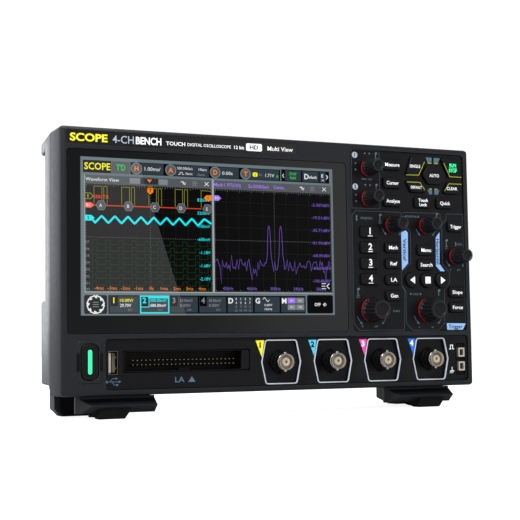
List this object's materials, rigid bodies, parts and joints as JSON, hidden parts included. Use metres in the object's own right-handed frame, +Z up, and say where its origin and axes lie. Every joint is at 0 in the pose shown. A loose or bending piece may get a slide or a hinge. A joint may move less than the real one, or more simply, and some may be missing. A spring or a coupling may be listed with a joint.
{
  "type": "oscilloscope",
  "caption": "Benchtop digital oscilloscope with a wide screen at the left, keys and knobs at the right, signal inputs below and flip-out front legs.",
  "frame": {"origin": "middle of the bounding box in plan, on the surface the instrument stands on", "axes": "+X to the right seen from the front, +Y to the back, so the front faces -Y, +Z up"},
  "size_m": [0.2654, 0.077, 0.1618],
  "materials": {
    "housing": "fine grained moulded plastic, dark slate grey",
    "fascia": "satin black panel with printed legends",
    "key": "soft matt rubber-like caps",
    "knob": "matt black, finely fluted",
    "glass": "gloss black touch glass over a lit display",
    "nickel": "bright nickel plate",
    "steel": "zinc plated sheet and turned steel",
    "board": "green solder mask",
    "socket": "black moulded connector body",
    "fan": "black glass-filled plastic"
  },
  "bodies": {
    "base": {"front_shell": "housing", "rear_shell": "housing", "control_panel": "fascia", "socket_panel": "fascia", "screen_glass": "glass", "display_module": "steel", "chassis": "steel", "main_board": "board", "keypad_board": "board", "fan_frame": "fan", "logic_header": "socket", "usb_host_port": "nickel", "input_1": "nickel", "input_2": "nickel", "input_3": "nickel", "input_4": "nickel"},
    "leg_left": {"leg_left": "housing"},
    "leg_right": {"leg_right": "housing"},
    "shaft_multi_1": {"encoder_shaft_multi_1": "steel"},
    "knob_multi_1": {"knob_multi_1": "knob"},
    "shaft_multi_2": {"encoder_shaft_multi_2": "steel"},
    "knob_multi_2": {"knob_multi_2": "knob"},
    "shaft_vertical_position": {"encoder_shaft_vertical_position": "steel"},
    "knob_vertical_position": {"knob_vertical_position": "knob"},
    "shaft_vertical_scale": {"encoder_shaft_vertical_scale": "steel"},
    "knob_vertical_scale": {"knob_vertical_scale": "knob"},
    "shaft_horizontal_position": {"encoder_shaft_horizontal_position": "steel"},
    "knob_horizontal_position": {"knob_horizontal_position": "knob"},
    "shaft_horizontal_scale": {"encoder_shaft_horizontal_scale": "steel"},
    "knob_horizontal_scale": {"knob_horizontal_scale": "knob"},
    "shaft_trigger_level": {"encoder_shaft_trigger_level": "steel"},
    "knob_trigger_level": {"knob_trigger_level": "knob"},
    "fan_rotor": {"fan_rotor": "fan"},
    "power_button": {"power_button": "key"},
    "key_channel_1": {"key_channel_1": "key"},
    "key_channel_2": {"key_channel_2": "key"},
    "key_channel_3": {"key_channel_3": "key"},
    "key_channel_4": {"key_channel_4": "key"},
    "key_measure": {"key_measure": "key"},
    "key_cursor": {"key_cursor": "key"},
    "key_analyse": {"key_analyse": "key"},
    "key_math": {"key_math": "key"},
    "key_reference": {"key_reference": "key"},
    "key_logic": {"key_logic": "key"},
    "key_generator": {"key_generator": "key"},
    "key_touch_lock": {"key_touch_lock": "key"},
    "key_quick": {"key_quick": "key"},
    "key_menu": {"key_menu": "key"},
    "key_search": {"key_search": "key"},
    "key_trigger": {"key_trigger": "key"},
    "key_slope": {"key_slope": "key"},
    "key_force": {"key_force": "key"},
    "key_step_left": {"key_step_left": "key"},
    "key_stop": {"key_stop": "key"},
    "key_step_right": {"key_step_right": "key"},
    "key_auto": {"key_auto": "key"},
    "key_single": {"key_single": "key"},
    "key_default": {"key_default": "key"},
    "key_run_stop": {"key_run_stop": "key"},
    "key_clear": {"key_clear": "key"}
  },
  "joints": [
    {"name": "leg_left_hinge", "type": "hinge", "parent": "base", "child": "leg_left", "pos_m": [-0.09967, -0.00912, 0.0077], "axis": [1, 0, 0], "range_deg": [0, 80]},
    {"name": "leg_right_hinge", "type": "hinge", "parent": "base", "child": "leg_right", "pos_m": [0.09532, -0.00912, 0.0077], "axis": [1, 0, 0], "range_deg": [0, 80]},
    {"name": "push_multi_1", "type": "slide", "parent": "base", "child": "shaft_multi_1", "axis": [0, 1, 0], "range_m": [0, 0.0005], "stiffness_N_per_m": 2000, "springref_m": -0.0005},
    {"name": "turn_multi_1", "type": "hinge", "parent": "shaft_multi_1", "child": "knob_multi_1", "pos_m": [0.06042, -0.02592, 0.14705], "axis": [0, -1, 0], "continuous": true},
    {"name": "push_multi_2", "type": "slide", "parent": "base", "child": "shaft_multi_2", "axis": [0, 1, 0], "range_m": [0, 0.0005], "stiffness_N_per_m": 2000, "springref_m": -0.0005},
    {"name": "turn_multi_2", "type": "hinge", "parent": "shaft_multi_2", "child": "knob_multi_2", "pos_m": [0.06042, -0.02592, 0.12845], "axis": [0, -1, 0], "continuous": true},
    {"name": "push_vertical_position", "type": "slide", "parent": "base", "child": "shaft_vertical_position", "axis": [0, 1, 0], "range_m": [0, 0.0005], "stiffness_N_per_m": 2000, "springref_m": -0.0005},
    {"name": "turn_vertical_position", "type": "hinge", "parent": "shaft_vertical_position", "child": "knob_vertical_position", "pos_m": [0.07673, -0.02592, 0.11255], "axis": [0, -1, 0], "continuous": true},
    {"name": "push_vertical_scale", "type": "slide", "parent": "base", "child": "shaft_vertical_scale", "axis": [0, 1, 0], "range_m": [0, 0.0005], "stiffness_N_per_m": 2000, "springref_m": -0.0005},
    {"name": "turn_vertical_scale", "type": "hinge", "parent": "shaft_vertical_scale", "child": "knob_vertical_scale", "pos_m": [0.06112, -0.02592, 0.05995], "axis": [0, -1, 0], "continuous": true},
    {"name": "push_horizontal_position", "type": "slide", "parent": "base", "child": "shaft_horizontal_position", "axis": [0, 1, 0], "range_m": [0, 0.0005], "stiffness_N_per_m": 2000, "springref_m": -0.0005},
    {"name": "turn_horizontal_position", "type": "hinge", "parent": "shaft_horizontal_position", "child": "knob_horizontal_position", "pos_m": [0.10093, -0.02592, 0.11275], "axis": [0, -1, 0], "continuous": true},
    {"name": "push_horizontal_scale", "type": "slide", "parent": "base", "child": "shaft_horizontal_scale", "axis": [0, 1, 0], "range_m": [0, 0.0005], "stiffness_N_per_m": 2000, "springref_m": -0.0005},
    {"name": "turn_horizontal_scale", "type": "hinge", "parent": "shaft_horizontal_scale", "child": "knob_horizontal_scale", "pos_m": [0.10122, -0.02592, 0.05995], "axis": [0, -1, 0], "continuous": true},
    {"name": "push_trigger_level", "type": "slide", "parent": "base", "child": "shaft_trigger_level", "axis": [0, 1, 0], "range_m": [0, 0.0005], "stiffness_N_per_m": 2000, "springref_m": -0.0005},
    {"name": "turn_trigger_level", "type": "hinge", "parent": "shaft_trigger_level", "child": "knob_trigger_level", "pos_m": [0.12243, -0.02592, 0.09365], "axis": [0, -1, 0], "continuous": true},
    {"name": "fan_spin", "type": "hinge", "parent": "base", "child": "fan_rotor", "pos_m": [-0.07068, 0.02998, 0.04275], "axis": [0, 1, 0], "continuous": true},
    {"name": "press_power", "type": "slide", "parent": "base", "child": "power_button", "axis": [0, 1, 0], "range_m": [0, 0.0008], "stiffness_N_per_m": 1500, "springref_m": -0.0005},
    {"name": "press_channel_1", "type": "slide", "parent": "base", "child": "key_channel_1", "axis": [0, 1, 0], "range_m": [0, 0.0008], "stiffness_N_per_m": 1200, "springref_m": -0.0004},
    {"name": "press_channel_2", "type": "slide", "parent": "base", "child": "key_channel_2", "axis": [0, 1, 0], "range_m": [0, 0.0008], "stiffness_N_per_m": 1200, "springref_m": -0.0004},
    {"name": "press_channel_3", "type": "slide", "parent": "base", "child": "key_channel_3", "axis": [0, 1, 0], "range_m": [0, 0.0008], "stiffness_N_per_m": 1200, "springref_m": -0.0004},
    {"name": "press_channel_4", "type": "slide", "parent": "base", "child": "key_channel_4", "axis": [0, 1, 0], "range_m": [0, 0.0008], "stiffness_N_per_m": 1200, "springref_m": -0.0004},
    {"name": "press_measure", "type": "slide", "parent": "base", "child": "key_measure", "axis": [0, 1, 0], "range_m": [0, 0.0008], "stiffness_N_per_m": 1200, "springref_m": -0.0004},
    {"name": "press_cursor", "type": "slide", "parent": "base", "child": "key_cursor", "axis": [0, 1, 0], "range_m": [0, 0.0008], "stiffness_N_per_m": 1200, "springref_m": -0.0004},
    {"name": "press_analyse", "type": "slide", "parent": "base", "child": "key_analyse", "axis": [0, 1, 0], "range_m": [0, 0.0008], "stiffness_N_per_m": 1200, "springref_m": -0.0004},
    {"name": "press_math", "type": "slide", "parent": "base", "child": "key_math", "axis": [0, 1, 0], "range_m": [0, 0.0008], "stiffness_N_per_m": 1200, "springref_m": -0.0004},
    {"name": "press_reference", "type": "slide", "parent": "base", "child": "key_reference", "axis": [0, 1, 0], "range_m": [0, 0.0008], "stiffness_N_per_m": 1200, "springref_m": -0.0004},
    {"name": "press_logic", "type": "slide", "parent": "base", "child": "key_logic", "axis": [0, 1, 0], "range_m": [0, 0.0008], "stiffness_N_per_m": 1200, "springref_m": -0.0004},
    {"name": "press_generator", "type": "slide", "parent": "base", "child": "key_generator", "axis": [0, 1, 0], "range_m": [0, 0.0008], "stiffness_N_per_m": 1200, "springref_m": -0.0004},
    {"name": "press_touch_lock", "type": "slide", "parent": "base", "child": "key_touch_lock", "axis": [0, 1, 0], "range_m": [0, 0.0008], "stiffness_N_per_m": 1200, "springref_m": -0.0004},
    {"name": "press_quick", "type": "slide", "parent": "base", "child": "key_quick", "axis": [0, 1, 0], "range_m": [0, 0.0008], "stiffness_N_per_m": 1200, "springref_m": -0.0004},
    {"name": "press_menu", "type": "slide", "parent": "base", "child": "key_menu", "axis": [0, 1, 0], "range_m": [0, 0.0008], "stiffness_N_per_m": 1200, "springref_m": -0.0004},
    {"name": "press_search", "type": "slide", "parent": "base", "child": "key_search", "axis": [0, 1, 0], "range_m": [0, 0.0008], "stiffness_N_per_m": 1200, "springref_m": -0.0004},
    {"name": "press_trigger", "type": "slide", "parent": "base", "child": "key_trigger", "axis": [0, 1, 0], "range_m": [0, 0.0008], "stiffness_N_per_m": 1200, "springref_m": -0.0004},
    {"name": "press_slope", "type": "slide", "parent": "base", "child": "key_slope", "axis": [0, 1, 0], "range_m": [0, 0.0008], "stiffness_N_per_m": 1200, "springref_m": -0.0004},
    {"name": "press_force", "type": "slide", "parent": "base", "child": "key_force", "axis": [0, 1, 0], "range_m": [0, 0.0008], "stiffness_N_per_m": 1200, "springref_m": -0.0004},
    {"name": "press_step_left", "type": "slide", "parent": "base", "child": "key_step_left", "axis": [0, 1, 0], "range_m": [0, 0.0008], "stiffness_N_per_m": 1200, "springref_m": -0.0004},
    {"name": "press_stop", "type": "slide", "parent": "base", "child": "key_stop", "axis": [0, 1, 0], "range_m": [0, 0.0008], "stiffness_N_per_m": 1200, "springref_m": -0.0004},
    {"name": "press_step_right", "type": "slide", "parent": "base", "child": "key_step_right", "axis": [0, 1, 0], "range_m": [0, 0.0008], "stiffness_N_per_m": 1200, "springref_m": -0.0004},
    {"name": "press_auto", "type": "slide", "parent": "base", "child": "key_auto", "axis": [0, 1, 0], "range_m": [0, 0.0008], "stiffness_N_per_m": 1200, "springref_m": -0.0004},
    {"name": "press_single", "type": "slide", "parent": "base", "child": "key_single", "axis": [0, 1, 0], "range_m": [0, 0.0008], "stiffness_N_per_m": 1200, "springref_m": -0.0004},
    {"name": "press_default", "type": "slide", "parent": "base", "child": "key_default", "axis": [0, 1, 0], "range_m": [0, 0.0008], "stiffness_N_per_m": 1200, "springref_m": -0.0004},
    {"name": "press_run_stop", "type": "slide", "parent": "base", "child": "key_run_stop", "axis": [0, 1, 0], "range_m": [0, 0.0008], "stiffness_N_per_m": 1200, "springref_m": -0.0004},
    {"name": "press_clear", "type": "slide", "parent": "base", "child": "key_clear", "axis": [0, 1, 0], "range_m": [0, 0.0008], "stiffness_N_per_m": 1200, "springref_m": -0.0004}
  ]
}
